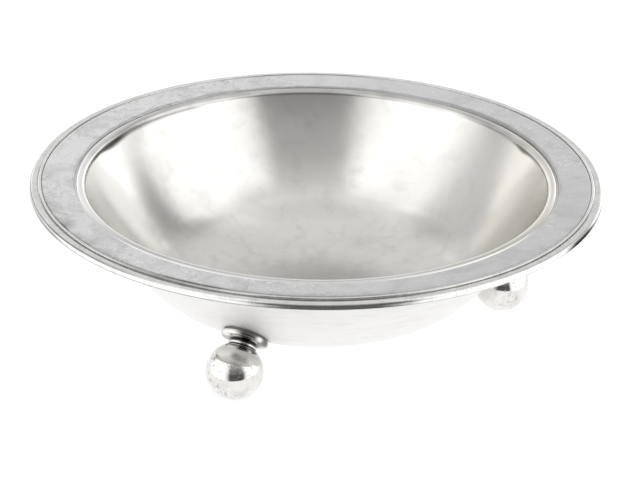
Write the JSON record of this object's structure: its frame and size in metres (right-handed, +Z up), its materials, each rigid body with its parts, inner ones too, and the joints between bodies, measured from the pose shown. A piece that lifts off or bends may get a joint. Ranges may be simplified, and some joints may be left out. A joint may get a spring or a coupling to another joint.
{
  "type": "footed bowl",
  "caption": "Shallow round metal bowl with a broad flat brim, a rounded band edge and splayed ball feet, for serving or display.",
  "frame": {"origin": "on the surface the bowl stands on, below the middle of the bowl", "axes": "+Z up along the bowl's axis; -Y is the side the picture was taken from, so foot 1 stands at the front left"},
  "size_m": [0.254, 0.254, 0.0696],
  "materials": {
    "satin": "satin, faintly streaked",
    "mottled": "dull grey, mottled and finely scratched",
    "polished": "polished",
    "collar": "dull, darkened in the hollows"
  },
  "bodies": {
    "root": {"bowl_shell": "satin", "rim_plate": "mottled", "mouth_bead": "satin", "rim_edge_band": "polished", "rim_edge_fillet": "polished", "foot_collar_1": "collar", "foot_ring_1": "polished", "foot_ball_1": "polished", "foot_peg_1": "collar", "foot_collar_2": "collar", "foot_ring_2": "polished", "foot_ball_2": "polished", "foot_peg_2": "collar", "foot_collar_3": "collar", "foot_ring_3": "polished", "foot_ball_3": "polished", "foot_peg_3": "collar"}
  },
  "joints": []
}
